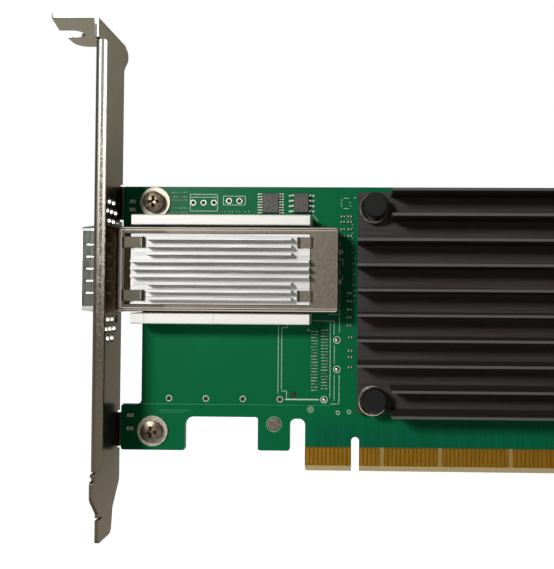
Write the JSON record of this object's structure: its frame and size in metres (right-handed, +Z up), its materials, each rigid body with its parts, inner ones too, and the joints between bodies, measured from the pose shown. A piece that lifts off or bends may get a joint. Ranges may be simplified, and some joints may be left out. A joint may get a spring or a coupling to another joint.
{
  "type": "network interface card",
  "caption": "Server network interface card with a pluggable port cage, finned heat sinks and a folded full-height bracket.",
  "frame": {"origin": "middle of the key notch on the mating edge, at the board's mid-plane", "axes": "+X along the card away from its bracket, +Z up the card away from the slot, -Y out of the component side"},
  "size_m": [0.1556, 0.0216, 0.12],
  "materials": {
    "board": "green solder mask over glass fibre, bare laminate at the mating edge",
    "gold_contacts": "hard gold plating on copper",
    "bracket_steel": "nickel-plated folded steel sheet",
    "screw_steel": "dull nickel-plated screw",
    "washer_plating": "bright plated washer",
    "cage_steel": "tin-plated sheet",
    "gasket_steel": "spring-finger sheet",
    "clip_steel": "sprung stainless sheet",
    "bright_aluminium": "bright extruded aluminium",
    "rail_aluminium": "brushed aluminium bar",
    "connector_plastic": "moulded black polymer",
    "contact_plating": "gold-plated contacts",
    "package_substrate": "laminated package substrate",
    "die_nickel": "nickel-plated lid",
    "thermal_compound": "grey thermal pad",
    "black_anodise": "black anodised extruded aluminium",
    "pin_plastic": "black nylon",
    "spring_steel": "round spring wire",
    "chip_moulding": "black moulded package",
    "lead_tin": "tinned leads",
    "chip_ceramic": "ceramic chip parts with tinned ends",
    "lamp_resin": "clear resin lamps"
  },
  "bodies": {
    "root": {"circuit_board": "board", "edge_contacts_front": "gold_contacts", "edge_contacts_back": "gold_contacts", "bracket": "bracket_steel", "bracket_screws": "screw_steel", "bracket_washers": "washer_plating", "port_cage": "cage_steel", "cage_gasket": "gasket_steel", "heat_sink_clip": "clip_steel", "port_heat_sink": "bright_aluminium", "side_rail_upper": "rail_aluminium", "side_rail_lower": "rail_aluminium", "port_connector": "connector_plastic", "port_connector_contacts": "contact_plating", "controller_package": "package_substrate", "controller_die": "die_nickel", "thermal_pad": "thermal_compound", "main_heat_sink": "black_anodise", "push_pins": "pin_plastic", "push_pin_springs": "spring_steel", "logic_chip": "chip_moulding", "logic_chip_leads": "lead_tin", "flash_chip": "chip_moulding", "flash_chip_leads": "lead_tin", "chip_parts": "chip_ceramic", "indicator_lamps": "lamp_resin"}
  },
  "joints": []
}
